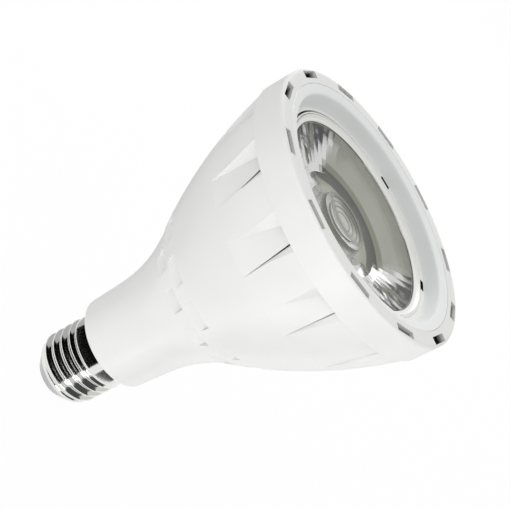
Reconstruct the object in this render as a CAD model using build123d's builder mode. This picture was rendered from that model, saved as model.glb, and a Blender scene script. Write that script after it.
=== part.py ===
from build123d import *
import math
import os

os.makedirs("parts", exist_ok=True)

# Heights are measured from the tip of the centre contact, up the lamp axis.
overall_length = 133.0
rim_r = 47.6
seat_gap = 0.3
fit_gap = 0.15

# Screw cap, 27 mm size with its round thread.
cap_bottom = 5.6
shell_length = 22.7
thread_crest_r = 13.15
thread_root_r = 12.05
thread_pitch = 3.63
thread_turns = 4
thread_lead_in = 0.7
thread_land = 0.9
shell_inner_r = 11.75
collar_r = 12.95
insulator_top_r = 11.9
insulator_tip_r = 8.2
insulator_tip = 1.3
plug_length = 2.4
contact_r = 4.8
contact_edge = 0.5
contact_chamfer = 1.6
stem_r = 1.2
stem_length = 8.7
neck_end = cap_bottom + shell_length
plug_top = cap_bottom + plug_length
stem_top = insulator_tip + stem_length

# Outer shape of the housing: rim band, bell, flare and neck.
rim_depth = 10.4
rim_round = 1.0
bell_step = 0.4
bell_bulge = 2.7
flare_r = 25.0
flare_share = 0.2388
flare_bulge = 1.65
neck_top_r = 17.0
neck_share = 0.1404
neck_end_r = 16.25
neck_round = 1.4
body_length = overall_length - neck_end
bell_r = rim_r - bell_step
bell_top = overall_length - rim_depth
neck_top = neck_end + neck_share * body_length
flare_top = neck_top + flare_share * body_length

# Twelve rim pockets, each with a sloping wall, a tilted floor, a groove and a leaning wall.
pocket_count = 12
pocket_half_angle = 7.8
pocket_slope_angle = 5.3
pocket_lean_angle = 2.55
pocket_groove_angle = 0.7
pocket_groove_depth = 1.2
pocket_depth = 2.7
pocket_wall = 1.2
pocket_length = 20.6
pocket_fade = 0.02
pocket_end = bell_top - pocket_length
pocket_floor_r = bell_r - pocket_depth

# Two rows of notches on the flare.
notch_low_share = 0.0382
notch_low_depth = 3.3
notch_low_width = 7.4
notch_high_share = 0.0955
notch_high_depth = 2.7
notch_high_width = 10.0
notch_reach = 6.0
notch_low_top = flare_top + notch_low_share * body_length
notch_high_top = flare_top + notch_high_share * body_length

# Front mouth of the housing and its air slots.
rim_width = 5.2
mouth_depth = 11.0
ledge_width = 1.9
slot_wall = 1.7
slot_length = 9.1
mouth_r = rim_r - rim_width
ledge = overall_length - mouth_depth
ledge_r = mouth_r - ledge_width
slot_inner_r = mouth_r + slot_wall
slot_width = rim_r - rim_round - slot_inner_r

# Inside of the bell and the neck.
shell_wall = 2.2
throat_r = 15.2
throat_share = 0.1242
neck_inner_r = 14.4
neck_floor_rise = 2.2
spigot_inner_r = 9.8
throat = neck_top + throat_share * body_length
neck_floor = neck_end + neck_floor_rise
spigot_r = shell_inner_r - seat_gap

# Bezel, lens holder, lens and the cup that carries it.
bezel_bevel_width = 3.3
bezel_bevel_drop = 0.95
bezel_cone_width = 2.2
bezel_cone_depth = 5.5
bezel_wall = 1.7
holder_overlap = 1.8
holder_flange = 1.2
holder_lip = 2.3
lens_flange_width = 2.1
lens_flange_thick = 1.1
lens_land = 0.9
lens_seat_depth = 8.6
lens_share = 0.2187
lens_bottom_r = 14.0
lens_sides = 44
lens_rows = 6
lens_curve = 0.66
lens_cavity_r = 11.0
lens_cavity_draft = 1.0
lens_cavity_height = 9.0
lens_rings = 2
lens_ring_rise = 1.6
lens_ring_lift = 0.9
cup_gap = 0.9
cup_wall = 1.2
cup_end_share = 0.15
window_length = 4.6
window_width = 1.7
window_inset = 1.55
window_angle = -75.6
window_spread = 65.0
bezel_r = mouth_r - fit_gap
bezel_bevel_r = bezel_r - bezel_bevel_width
bezel_bevel = overall_length - bezel_bevel_drop
cone_foot_r = bezel_bevel_r - bezel_cone_width
cone_foot = overall_length - bezel_cone_depth
holder_top_r = cone_foot_r + holder_overlap
lens_flange_r = cone_foot_r - holder_lip
lens_r = lens_flange_r - lens_flange_width
window_r = lens_flange_r + window_inset
lens_seat = overall_length - lens_seat_depth
lens_flange = lens_seat + lens_flange_thick
lens_front = lens_flange + lens_land
lens_bottom = lens_front - lens_share * body_length
lens_cavity_top = lens_bottom + lens_cavity_height
holder_step = lens_seat + holder_flange
cup_end = lens_bottom + cup_end_share * (lens_seat - lens_bottom)

# Heat sink and light source.
light_gap = 2.5
plate_thick = 4.0
plate_gap = 1.1
fin_count = 18
fin_thick = 1.6
fin_rise = 2.0
fin_hub_r = 9.0
fin_hub_sink = 1.0
fin_wall_gap = 0.9
boss_r = 3.2
boss_inset = 3.9
boss_height = 6.5
boss_hole = 5.5
sink_screw_r = 1.5
sink_screw_length = 8.5
sink_head_r = 2.8
sink_head = 1.8
cob_size = 21.0
cob_thick = 1.0
phosphor_r = 8.6
phosphor_thick = 0.5
clamp_r = 16.0
clamp_thick = 2.2
clamp_hole_r = 9.2
clamp_screw_circle = 13.5
clamp_screw_r = 1.1
clamp_head_r = 2.0
clamp_head = 1.1
lead_pass_circle = 18.5
lead_pass_r = 1.6
plate_top = lens_bottom - light_gap
plate_bottom = plate_top - plate_thick
fin_bottom = notch_high_top + fin_rise
half_fin = 180 / fin_count

# Driver in the neck.
board_width = 26.0
board_thick = 1.6
board_seat = 1.0
board_clear = 6.0
rail_length = 17.5
rail_depth = 2.9
rail_root = 1.2
rail_half = 2.4
lead_r = 0.6
lead_slot = 2.4
lead_solder = 3.5
lead_bend = 8.0
lead_spread = 4.0
lead_rise = 1.2
core_width = 16.0
core_height = 14.0
core_depth = 10.4
core_leg = 6.0
core_yoke = 2.4
core_drop = 15.0
winding_wall = 2.4
can_r = 5.0
can_gap = 5.0
can_rise = 4.5
can_x = 5.6
crimp_rise = 2.0
crimp_width = 0.9
crimp_depth = 0.4
small_can_r = 4.0
small_can_length = 15.0
small_can_drop = 3.0
film_width = 6.0
film_depth = 6.5
film_height = 11.0
film_x = 6.4
choke_r = 3.6
choke_waist_r = 2.4
choke_length = 7.2
choke_flange = 1.2
choke_gap = 1.4
bridge_width = 6.6
bridge_depth = 2.4
bridge_height = 5.0
chip_width = 5.0
chip_depth = 1.6
chip_height = 4.0
fuse_r = 1.6
fuse_length = 8.0
board_bottom = neck_floor + board_seat
board_top = fin_bottom - board_clear
rail_top = neck_floor + rail_length
board_face = board_thick / 2
core_bottom = board_top - core_drop
core_mid = core_bottom + core_height / 2
core_y = board_face + winding_wall / 2 + core_depth / 2
can_bottom = board_bottom + can_rise
can_length = core_bottom - can_bottom - can_gap
lead_y = -board_face - lead_r - fit_gap


def arc_middle(low, high, bulge):
    """Middle point of an arc between two points, set off its chord by the bulge."""
    run = math.hypot(high[0] - low[0], high[1] - low[1])
    side = ((high[1] - low[1]) / run, (low[0] - high[0]) / run)
    return (
        (low[0] + high[0]) / 2 + bulge * side[0],
        (low[1] + high[1]) / 2 + bulge * side[1],
    )


def bell_radius(height):
    """Radius of the bell's skin at a height, on the arc from the flare to the rim."""
    run = math.hypot(bell_r - flare_r, bell_top - flare_top)
    ball = run**2 / (8 * bell_bulge) + bell_bulge / 2
    centre_r, centre_height = arc_middle((flare_r, flare_top), (bell_r, bell_top), bell_bulge - ball)
    return centre_r + math.sqrt(ball**2 - (height - centre_height) ** 2)


flare_mid = arc_middle((neck_top_r, neck_top), (flare_r, flare_top), -flare_bulge)
bell_mid = arc_middle((flare_r, flare_top), (bell_r, bell_top), bell_bulge)
pocket_run_out_r = bell_radius(pocket_end)
notch_low_floor = bell_radius(notch_low_top) - notch_low_depth
notch_high_floor = bell_radius(notch_high_top) - notch_high_depth
pocket_inner_r = pocket_run_out_r - shell_wall
cone_inner = notch_high_top
cone_inner_r = notch_high_floor - shell_wall


def cone_inner_at(height):
    """Inner radius of the bell between its throat and its pocket end."""
    if height > cone_inner:
        share = (height - cone_inner) / (pocket_end - cone_inner)
        return cone_inner_r + share * (pocket_inner_r - cone_inner_r)
    share = (height - throat) / (cone_inner - throat)
    return throat_r + share * (cone_inner_r - throat_r)


plate_r = cone_inner_at(plate_bottom) - plate_gap
boss_circle = plate_r - boss_inset
boss_bottom = plate_bottom - boss_height


def lens_wall_r(height):
    """Radius of the lens wall at a height, on a power curve from its foot to its seat."""
    share = (height - lens_bottom) / (lens_seat - lens_bottom)
    return lens_bottom_r + (lens_r - lens_bottom_r) * share**lens_curve


def ring_edge(number):
    """Outer radius of a ring of the lens cavity, for rings of equal area."""
    return (lens_cavity_r - lens_cavity_draft) * math.sqrt(number / lens_rings)


def polar(radius, degrees):
    """Point at a radius and an angle about the lamp axis."""
    turn = math.radians(degrees)
    return (radius * math.cos(turn), radius * math.sin(turn))


def pocket_section(height, skin_r, deep_r, share):
    """Section of one pocket: sloping wall, floor that rises again, groove and leaning wall."""
    left = pocket_slope_angle * share - pocket_half_angle
    foot = pocket_half_angle - pocket_lean_angle * share
    right = foot - pocket_groove_angle * share
    foot_r = deep_r + (pocket_depth - pocket_wall) * share
    floor_left = Vector(*polar(deep_r, left))
    groove = polar(foot_r - pocket_groove_depth * share, (foot + right) / 2)
    wall_foot = Vector(*polar(foot_r, foot))
    skin_left = Vector(*polar(skin_r, -pocket_half_angle))
    skin_right = Vector(*polar(skin_r, pocket_half_angle))
    outer_left = floor_left + (skin_left - floor_left) * 2.5
    outer_right = wall_foot + (skin_right - wall_foot) * 2.5
    with BuildSketch(Plane.XY.offset(height)) as section:
        with BuildLine():
            ThreePointArc(floor_left, polar((deep_r + foot_r) / 2, (left + right) / 2), polar(foot_r, right))
            Polyline(polar(foot_r, right), groove, wall_foot, outer_right, outer_left, floor_left)
        make_face()
    return section.sketch


with BuildPart() as screw_shell:
    with BuildSketch(Plane.XZ):
        with BuildLine():
            flank = thread_pitch / 2 - thread_land
            thread_start = cap_bottom + thread_lead_in
            outline = [(shell_inner_r, cap_bottom), (thread_root_r, cap_bottom)]
            for turn in range(thread_turns):
                foot = thread_start + turn * thread_pitch
                outline.append((thread_root_r, foot))
                outline.append((thread_crest_r, foot + flank))
                outline.append((thread_crest_r, foot + flank + thread_land))
                outline.append((thread_root_r, foot + 2 * flank + thread_land))
            collar = thread_start + thread_turns * thread_pitch
            outline.append((thread_root_r, collar))
            outline.append((collar_r, collar + flank))
            outline.append((collar_r, neck_end))
            outline.append((shell_inner_r, neck_end))
            Polyline(*outline, close=True)
        make_face()
    revolve(axis=Axis.Z)
screw_shell.part.label = "screw_shell"
export_step(screw_shell.part, "parts/screw_shell.step")

with BuildPart() as base_insulator:
    with BuildSketch(Plane.XZ):
        with BuildLine():
            Polyline(
                (stem_r + seat_gap, insulator_tip),
                (insulator_tip_r, insulator_tip),
                (insulator_top_r, cap_bottom),
                (shell_inner_r - seat_gap, cap_bottom),
                (shell_inner_r - seat_gap, plug_top),
                (stem_r + seat_gap, plug_top),
                close=True,
            )
        make_face()
    revolve(axis=Axis.Z)
base_insulator.part.label = "base_insulator"
export_step(base_insulator.part, "parts/base_insulator.step")

with BuildPart() as centre_contact:
    with BuildSketch(Plane.XZ):
        with BuildLine():
            Polyline(
                (0, 0),
                (contact_r - contact_chamfer, 0),
                (contact_r, insulator_tip - contact_edge),
                (contact_r, insulator_tip),
                (stem_r, insulator_tip),
                (stem_r, stem_top),
                (0, stem_top),
                close=True,
            )
        make_face()
    revolve(axis=Axis.Z)
centre_contact.part.label = "centre_contact"
export_step(centre_contact.part, "parts/centre_contact.step")

with BuildPart() as housing:
    with BuildSketch(Plane.XZ):
        with BuildLine():
            Line((mouth_r, overall_length), (rim_r - rim_round, overall_length))
            rim_turn = rim_round * (1 - math.sqrt(0.5))
            ThreePointArc(
                (rim_r - rim_round, overall_length),
                (rim_r - rim_turn, overall_length - rim_turn),
                (rim_r, overall_length - rim_round),
            )
            Polyline((rim_r, overall_length - rim_round), (rim_r, bell_top), (bell_r, bell_top))
            ThreePointArc((bell_r, bell_top), bell_mid, (flare_r, flare_top))
            ThreePointArc((flare_r, flare_top), flare_mid, (neck_top_r, neck_top))
            Line((neck_top_r, neck_top), (neck_end_r, neck_end + neck_round))
            neck_turn = neck_round * (1 - math.sqrt(0.5))
            ThreePointArc(
                (neck_end_r, neck_end + neck_round),
                (neck_end_r - neck_turn, neck_end + neck_turn),
                (neck_end_r - neck_round, neck_end),
            )
            Polyline(
                (neck_end_r - neck_round, neck_end),
                (spigot_r, neck_end),
                (spigot_r, plug_top),
                (spigot_inner_r, plug_top),
                (spigot_inner_r, neck_floor),
                (neck_inner_r, neck_floor),
                (throat_r, throat),
                (cone_inner_r, cone_inner),
                (pocket_inner_r, pocket_end),
                (ledge_r, ledge),
                (mouth_r, ledge),
                (mouth_r, overall_length),
            )
        make_face()
    revolve(axis=Axis.Z)
    # Rim pockets run out of the skin at their lower end.
    pocket_front = pocket_section(bell_top, bell_r, pocket_floor_r, 1.0)
    pocket_back = pocket_section(pocket_end, pocket_run_out_r + pocket_depth, pocket_run_out_r, pocket_fade)
    pocket = loft([pocket_front, pocket_back], ruled=True, mode=Mode.PRIVATE)
    with PolarLocations(0, pocket_count):
        add(pocket, mode=Mode.SUBTRACT)
    # Air slots through the rim into the pockets.
    with BuildSketch(Plane.XY.offset(overall_length)):
        with PolarLocations(slot_inner_r + slot_width / 2, pocket_count):
            Rectangle(slot_width, slot_length)
    extrude(amount=-rim_depth - seat_gap, mode=Mode.SUBTRACT)
    # Notches facing the cap, the upper row set half a pitch round.
    with BuildSketch(Plane.XY.offset(notch_low_top)):
        with PolarLocations(notch_low_floor + notch_reach / 2, pocket_count):
            Rectangle(notch_reach, notch_low_width)
    extrude(amount=-notch_reach, mode=Mode.SUBTRACT)
    with BuildSketch(Plane.XY.offset(notch_high_top)):
        with PolarLocations(notch_high_floor + notch_reach / 2, pocket_count, 180 / pocket_count):
            Rectangle(notch_reach, notch_high_width)
    extrude(amount=-notch_reach, mode=Mode.SUBTRACT)
    # Screw bosses under the heat sink plate.
    with BuildSketch(Plane.XY.offset(boss_bottom)):
        with PolarLocations(boss_circle, 3, half_fin):
            Circle(boss_r)
    extrude(amount=boss_height)
    with BuildSketch(Plane.XY.offset(plate_bottom)):
        with PolarLocations(boss_circle, 3, half_fin):
            Circle(sink_screw_r + seat_gap)
    extrude(amount=-boss_hole, mode=Mode.SUBTRACT)
    # Rails that take the edges of the driver board.
    with BuildSketch(Plane.XY.offset(neck_floor)):
        rail_x = neck_inner_r + rail_root - rail_depth / 2
        with Locations((rail_x, 0), (-rail_x, 0)):
            Rectangle(rail_depth, 2 * rail_half)
    extrude(amount=rail_top - neck_floor)
    with BuildSketch(Plane.XY.offset(board_bottom)):
        Rectangle(board_width + 2 * fit_gap, board_thick + 2 * fit_gap)
    extrude(amount=rail_top - neck_floor, mode=Mode.SUBTRACT)
    # Slot that lets the side lead reach the shell.
    with BuildSketch(Plane.XY.offset(plug_top)):
        with Locations((spigot_r, 0)):
            Rectangle(4 * (spigot_r - spigot_inner_r), lead_slot)
    extrude(amount=3 * lead_slot, mode=Mode.SUBTRACT)
housing.part.label = "housing"
export_step(housing.part, "parts/housing.step")

with BuildPart() as front_bezel:
    with BuildSketch(Plane.XZ):
        with BuildLine():
            Polyline(
                (bezel_r, overall_length),
                (bezel_bevel_r, bezel_bevel),
                (cone_foot_r, cone_foot),
                (cone_foot_r + bezel_wall, cone_foot),
                (bezel_r - bezel_wall, bezel_bevel - bezel_wall),
                (bezel_r - bezel_wall, holder_step),
                (bezel_r, holder_step),
                close=True,
            )
        make_face()
    revolve(axis=Axis.Z)
front_bezel.part.label = "front_bezel"
export_step(front_bezel.part, "parts/front_bezel.step")

with BuildPart() as lens_holder:
    with BuildSketch(Plane.XZ):
        with BuildLine():
            Polyline(
                (lens_r + seat_gap, lens_flange),
                (lens_r + seat_gap, lens_front),
                (lens_flange_r, cone_foot),
                (holder_top_r, cone_foot),
                (holder_top_r, holder_step),
                (bezel_r, holder_step),
                (bezel_r, lens_seat),
                (lens_flange_r + seat_gap, lens_seat),
                (lens_flange_r + seat_gap, lens_flange),
                close=True,
            )
        make_face()
    revolve(axis=Axis.Z)
    # Snap windows outside the lens flange.
    with BuildSketch(Plane.XY.offset(cone_foot)):
        with PolarLocations(window_r, 2, window_angle):
            Rectangle(window_width, window_length)
        with PolarLocations(window_r, 2, window_angle - window_spread):
            Rectangle(window_width, window_length)
    extrude(amount=lens_seat - cone_foot, mode=Mode.SUBTRACT)
lens_holder.part.label = "lens_holder"
export_step(lens_holder.part, "parts/lens_holder.step")

with BuildPart() as lens_cup:
    with BuildSketch(Plane.XZ):
        with BuildLine():
            cup_mid = (cup_end + lens_seat) / 2
            cup_low = (cup_end + ledge) / 2
            ThreePointArc(
                (lens_wall_r(lens_seat) + cup_gap, lens_seat),
                (lens_wall_r(cup_mid) + cup_gap, cup_mid),
                (lens_wall_r(cup_end) + cup_gap, cup_end),
            )
            Line(
                (lens_wall_r(cup_end) + cup_gap, cup_end),
                (lens_wall_r(cup_end) + cup_gap + cup_wall, cup_end),
            )
            ThreePointArc(
                (lens_wall_r(cup_end) + cup_gap + cup_wall, cup_end),
                (lens_wall_r(cup_low) + cup_gap + cup_wall, cup_low),
                (lens_wall_r(ledge) + cup_gap + cup_wall, ledge),
            )
            Polyline(
                (lens_wall_r(ledge) + cup_gap + cup_wall, ledge),
                (bezel_r, ledge),
                (bezel_r, lens_seat),
                (lens_wall_r(lens_seat) + cup_gap, lens_seat),
            )
        make_face()
    revolve(axis=Axis.Z)
    # Windows for the snaps of the holder.
    with BuildSketch(Plane.XY.offset(lens_seat)):
        with PolarLocations(window_r, 2, window_angle):
            Rectangle(window_width, window_length)
        with PolarLocations(window_r, 2, window_angle - window_spread):
            Rectangle(window_width, window_length)
    extrude(amount=ledge - lens_seat, mode=Mode.SUBTRACT)
lens_cup.part.label = "lens_cup"
export_step(lens_cup.part, "parts/lens_cup.step")

with BuildPart() as lens:
    # The collimating wall is stepped down a parabola in flat facets.
    for row in range(lens_rows + 1):
        height = lens_bottom + row / lens_rows * (lens_seat - lens_bottom)
        with BuildSketch(Plane.XY.offset(height)):
            RegularPolygon(lens_wall_r(height), lens_sides)
    loft(ruled=True)
    with BuildSketch(Plane.XZ):
        with BuildLine():
            Polyline(
                (0, lens_seat),
                (lens_flange_r, lens_seat),
                (lens_flange_r, lens_flange),
                (lens_r, lens_flange),
                (lens_r, lens_front),
                (0, lens_front),
                close=True,
            )
        make_face()
    revolve(axis=Axis.Z)
    # The cavity over the light source ends in a small dome with stepped rings round it.
    with BuildSketch(Plane.XZ):
        with BuildLine():
            dome_r = ring_edge(1)
            dome_low = lens_cavity_top - lens_ring_rise - (lens_rings - 1) * lens_ring_lift
            dome_ball = (dome_r**2 + lens_ring_rise**2) / (2 * lens_ring_rise)
            dome_half = dome_ball - math.sqrt(dome_ball**2 - (dome_r / 2) ** 2)
            outline = [(dome_r, dome_low + lens_ring_rise)]
            for ring in range(1, lens_rings):
                foot = dome_low + ring * lens_ring_lift
                outline.append((ring_edge(ring), foot))
                outline.append((ring_edge(ring + 1), foot + lens_ring_rise))
            outline.append((lens_cavity_r, lens_bottom))
            outline.append((0, lens_bottom))
            outline.append((0, dome_low))
            ThreePointArc((0, dome_low), (dome_r / 2, dome_low + dome_half), outline[0])
            Polyline(*outline)
        make_face()
    revolve(axis=Axis.Z, mode=Mode.SUBTRACT)
lens.part.label = "lens"
export_step(lens.part, "parts/lens.step")

with BuildPart() as heat_sink:
    with BuildSketch(Plane.XY.offset(plate_bottom)):
        Circle(plate_r)
    extrude(amount=plate_thick)
    with BuildSketch(Plane.XY.offset(fin_bottom)):
        Circle(fin_hub_r)
    extrude(amount=plate_bottom - fin_bottom)
    with BuildSketch(Plane.XZ):
        with BuildLine():
            top_r = cone_inner_at(plate_bottom) - fin_wall_gap
            low_r = cone_inner_at(fin_bottom) - fin_wall_gap
            Polyline(
                (fin_hub_r - fin_hub_sink, fin_bottom),
                (low_r, fin_bottom),
                (top_r, plate_bottom),
                (fin_hub_r - fin_hub_sink, plate_bottom),
                close=True,
            )
        make_face()
    fin = extrude(amount=fin_thick / 2, both=True, mode=Mode.PRIVATE)
    with PolarLocations(0, fin_count):
        add(fin)
    # Clearance holes for the fixing screws, tapped holes and lead passages.
    with BuildSketch(Plane.XY.offset(plate_top)):
        with PolarLocations(boss_circle, 3, half_fin):
            Circle(sink_screw_r + seat_gap)
        with PolarLocations(clamp_screw_circle, 2):
            Circle(clamp_screw_r + seat_gap)
        with PolarLocations(lead_pass_circle, 2, half_fin):
            Circle(lead_pass_r)
    extrude(amount=-plate_thick, mode=Mode.SUBTRACT)
heat_sink.part.label = "heat_sink"
export_step(heat_sink.part, "parts/heat_sink.step")

with BuildPart() as heat_sink_screws:
    with BuildSketch(Plane.XY.offset(plate_top)):
        with PolarLocations(boss_circle, 3, half_fin):
            Circle(sink_head_r)
    extrude(amount=sink_head)
    with BuildSketch(Plane.XY.offset(plate_top)):
        with PolarLocations(boss_circle, 3, half_fin):
            Circle(sink_screw_r)
    extrude(amount=-sink_screw_length)
heat_sink_screws.part.label = "heat_sink_screws"
export_step(heat_sink_screws.part, "parts/heat_sink_screws.step")

with BuildPart() as cob_board:
    with BuildSketch(Plane.XY.offset(plate_top)):
        Rectangle(cob_size, cob_size)
    extrude(amount=cob_thick)
cob_board.part.label = "cob_board"
export_step(cob_board.part, "parts/cob_board.step")

with BuildPart() as cob_phosphor:
    with BuildSketch(Plane.XY.offset(plate_top + cob_thick)):
        Circle(phosphor_r)
    extrude(amount=phosphor_thick)
cob_phosphor.part.label = "cob_phosphor"
export_step(cob_phosphor.part, "parts/cob_phosphor.step")

with BuildPart() as cob_holder:
    with BuildSketch(Plane.XY.offset(plate_top)):
        Circle(clamp_r)
        Circle(clamp_hole_r, mode=Mode.SUBTRACT)
        with PolarLocations(clamp_screw_circle, 2):
            Circle(clamp_screw_r + seat_gap, mode=Mode.SUBTRACT)
    extrude(amount=clamp_thick)
    with BuildSketch(Plane.XY.offset(plate_top)):
        Rectangle(cob_size + 2 * fit_gap, cob_size + 2 * fit_gap)
    extrude(amount=cob_thick, mode=Mode.SUBTRACT)
    with BuildSketch(Plane.XY.offset(plate_top + clamp_thick)):
        with PolarLocations(clamp_screw_circle, 2):
            Circle(clamp_head_r + seat_gap)
    extrude(amount=-clamp_head, mode=Mode.SUBTRACT)
cob_holder.part.label = "cob_holder"
export_step(cob_holder.part, "parts/cob_holder.step")

with BuildPart() as cob_screws:
    with BuildSketch(Plane.XY.offset(plate_top + clamp_thick)):
        with PolarLocations(clamp_screw_circle, 2):
            Circle(clamp_head_r)
    extrude(amount=-clamp_head)
    with BuildSketch(Plane.XY.offset(plate_top + clamp_thick - clamp_head)):
        with PolarLocations(clamp_screw_circle, 2):
            Circle(clamp_screw_r)
    extrude(amount=-(clamp_thick - clamp_head + plate_thick))
cob_screws.part.label = "cob_screws"
export_step(cob_screws.part, "parts/cob_screws.step")

with BuildPart() as driver_board:
    with BuildSketch(Plane.XY.offset(board_bottom)):
        Rectangle(board_width, board_thick)
    extrude(amount=board_top - board_bottom)
driver_board.part.label = "driver_board"
export_step(driver_board.part, "parts/driver_board.step")

with BuildPart() as transformer_core:
    with BuildSketch(Plane.XZ.offset(-core_y)):
        with Locations((0, core_mid)):
            Rectangle(core_width, core_height)
        window_w = (core_width - core_leg) / 2 - core_yoke
        with Locations(
            (core_leg / 2 + window_w / 2, core_mid),
            (-core_leg / 2 - window_w / 2, core_mid),
        ):
            Rectangle(window_w, core_height - 2 * core_yoke, mode=Mode.SUBTRACT)
    extrude(amount=core_depth / 2, both=True)
transformer_core.part.label = "transformer_core"
export_step(transformer_core.part, "parts/transformer_core.step")

with BuildPart() as transformer_winding:
    with BuildSketch(Plane.XY.offset(core_bottom + core_yoke + fit_gap)):
        with Locations((0, core_y)):
            Rectangle(core_leg + 2 * winding_wall, core_depth + winding_wall)
            Rectangle(core_leg + 2 * fit_gap, core_depth + 2 * fit_gap, mode=Mode.SUBTRACT)
    extrude(amount=core_height - 2 * core_yoke - 2 * fit_gap)
transformer_winding.part.label = "transformer_winding"
export_step(transformer_winding.part, "parts/transformer_winding.step")

with BuildPart() as input_capacitor:
    with BuildSketch(Plane.XY.offset(can_bottom)):
        with Locations((can_x, board_face + seat_gap + can_r)):
            Circle(can_r)
    extrude(amount=can_length)
    # Crimp groove near the lead end.
    with BuildSketch(Plane.XY.offset(can_bottom + crimp_rise)):
        with Locations((can_x, board_face + seat_gap + can_r)):
            Circle(can_r + crimp_width)
            Circle(can_r - crimp_depth, mode=Mode.SUBTRACT)
    extrude(amount=crimp_width, mode=Mode.SUBTRACT)
input_capacitor.part.label = "input_capacitor"
export_step(input_capacitor.part, "parts/input_capacitor.step")

with BuildPart() as output_capacitor:
    with BuildSketch(Plane.XY.offset(core_bottom - small_can_drop)):
        with Locations((can_x, -board_face - seat_gap - small_can_r)):
            Circle(small_can_r)
    extrude(amount=small_can_length)
    with BuildSketch(Plane.XY.offset(core_bottom - small_can_drop + crimp_rise)):
        with Locations((can_x, -board_face - seat_gap - small_can_r)):
            Circle(small_can_r + crimp_width)
            Circle(small_can_r - crimp_depth, mode=Mode.SUBTRACT)
    extrude(amount=crimp_width, mode=Mode.SUBTRACT)
output_capacitor.part.label = "output_capacitor"
export_step(output_capacitor.part, "parts/output_capacitor.step")

with BuildPart() as film_capacitor:
    with BuildSketch(Plane.XY.offset(can_bottom)):
        with Locations((-film_x, board_face + film_depth / 2)):
            Rectangle(film_width, film_depth)
    extrude(amount=film_height)
film_capacitor.part.label = "film_capacitor"
export_step(film_capacitor.part, "parts/film_capacitor.step")

with BuildPart() as choke:
    choke_mid = can_bottom + film_height + choke_r + choke_gap
    with BuildSketch(Plane.XZ.offset(-board_face)):
        with Locations((-film_x, choke_mid)):
            Circle(choke_r)
    extrude(amount=-choke_length)
    with BuildSketch(Plane.XZ.offset(-board_face - choke_flange)):
        with Locations((-film_x, choke_mid)):
            Circle(choke_r + choke_flange)
            Circle(choke_waist_r, mode=Mode.SUBTRACT)
    extrude(amount=2 * choke_flange - choke_length, mode=Mode.SUBTRACT)
choke.part.label = "choke"
export_step(choke.part, "parts/choke.step")

with BuildPart() as bridge_rectifier:
    with BuildSketch(Plane.XY.offset(can_bottom + crimp_rise)):
        with Locations((can_x, -board_face - bridge_depth / 2)):
            Rectangle(bridge_width, bridge_depth)
    extrude(amount=bridge_height)
bridge_rectifier.part.label = "bridge_rectifier"
export_step(bridge_rectifier.part, "parts/bridge_rectifier.step")

with BuildPart() as control_chip:
    with BuildSketch(Plane.XY.offset(rail_top + crimp_rise)):
        with Locations((-can_x, -board_face - chip_depth / 2)):
            Rectangle(chip_width, chip_depth)
    extrude(amount=chip_height)
control_chip.part.label = "control_chip"
export_step(control_chip.part, "parts/control_chip.step")

with BuildPart() as fuse_resistor:
    with BuildSketch(Plane.XY.offset(can_bottom)):
        with Locations((-can_x, -board_face - seat_gap - fuse_r)):
            Circle(fuse_r)
    extrude(amount=fuse_length)
fuse_resistor.part.label = "fuse_resistor"
export_step(fuse_resistor.part, "parts/fuse_resistor.step")

with BuildPart() as supply_leads:
    lead_top = board_bottom + lead_solder
    lead_turn = board_bottom - lead_solder
    with BuildLine() as tip_path:
        Polyline((0, 0, stem_top), (0, 0, stem_top + lead_bend), (0, lead_y, lead_turn), (0, lead_y, lead_top))
    with BuildSketch(tip_path.line ^ 0):
        Circle(lead_r)
    sweep(path=tip_path.line, transition=Transition.RIGHT)
    side_r = shell_inner_r - lead_r - fit_gap
    side_foot = plug_top + 2 * lead_slot - lead_r
    with BuildLine() as side_path:
        Polyline(
            (side_r, 0, side_foot),
            (lead_spread, 0, side_foot + lead_spread),
            (lead_spread, lead_y, lead_turn),
            (lead_spread, lead_y, lead_top),
        )
    with BuildSketch(side_path.line ^ 0):
        Circle(lead_r)
    sweep(path=side_path.line, transition=Transition.RIGHT)
supply_leads.part.label = "supply_leads"
export_step(supply_leads.part, "parts/supply_leads.step")

with BuildPart() as led_leads:
    pass_x, pass_y = polar(lead_pass_circle, half_fin)
    turn_x, turn_y = polar(clamp_r + lead_r, half_fin)
    start_x = can_x + lead_spread
    for side in (1, -1):
        with BuildLine() as lead_path:
            Polyline(
                (side * start_x, -side * lead_y, board_top - 2 * lead_solder),
                (side * start_x, -side * lead_y, board_top + lead_rise),
                (side * pass_x, side * pass_y, fin_bottom + fin_rise),
                (side * pass_x, side * pass_y, plate_top + lead_rise),
                (side * turn_x, side * turn_y, plate_top + lead_rise),
            )
        with BuildSketch(lead_path.line ^ 0):
            Circle(lead_r)
        sweep(path=lead_path.line, transition=Transition.RIGHT)
led_leads.part.label = "led_leads"
export_step(led_leads.part, "parts/led_leads.step")
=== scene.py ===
"""Looks for the led spotlight bulb.

Every node gets its finish here. The screw cap, the lens, its holder and the front ring are made again
with the fine forms that the solids leave out, and a white studio and the photo's camera stand round
the lamp.
"""

import logging
import math
from dataclasses import dataclass, field
from enum import Enum
from typing import Any

import bpy
import numpy as np
from mathutils import Matrix, Vector


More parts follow.
